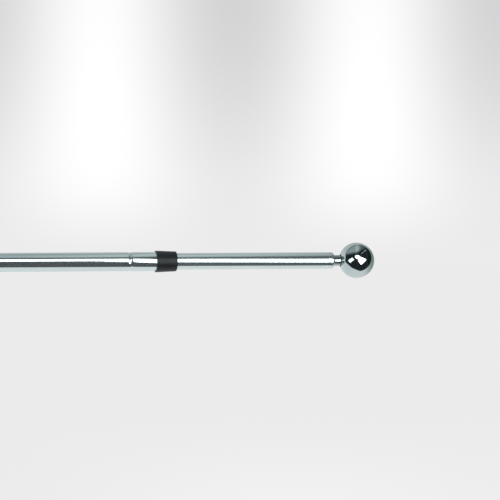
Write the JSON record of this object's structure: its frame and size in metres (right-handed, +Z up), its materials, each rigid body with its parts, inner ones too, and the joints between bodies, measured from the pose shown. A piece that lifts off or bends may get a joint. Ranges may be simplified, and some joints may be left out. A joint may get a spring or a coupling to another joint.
{
  "type": "telescopic flagpole",
  "caption": "Slim chromed telescopic flagpole with a black conical guide collar, an internal twist lock and a mirror-polished ball finial on a short neck.",
  "frame": {"origin": "centre of the foot plug's flat underside", "axes": "+Z up the pole's axis towards the ball; X and Y are level and equal, as the pole is round"},
  "size_m": [0.06, 0.06, 1.3631],
  "materials": {
    "tube_chrome": "bright plated, fine polishing marks",
    "ball_mirror": "mirror polished",
    "black_plastic": "satin moulded, fine grain",
    "lock_nylon": "satin natural nylon",
    "zinc_steel": "bright zinc plated"
  },
  "bodies": {
    "lower_section": {"lower_tube": "tube_chrome", "foot_plug": "black_plastic", "guide_collar": "black_plastic"},
    "lock_carrier": {"lock_sleeve": "lock_nylon"},
    "upper_section": {"upper_tube": "tube_chrome", "lock_screw": "zinc_steel", "lock_plug": "lock_nylon", "finial_neck": "tube_chrome", "finial_stud": "zinc_steel", "finial_ball": "ball_mirror"}
  },
  "joints": [
    {"name": "pole_extend", "type": "slide", "parent": "lower_section", "child": "lock_carrier", "axis": [0, 0, 1], "range_m": [-0.28, 0.565]},
    {"name": "lock_twist", "type": "hinge", "parent": "lock_carrier", "child": "upper_section", "pos_m": [0, 0, 0.35], "axis": [0, 0, 1], "range_deg": [0, 180]}
  ]
}
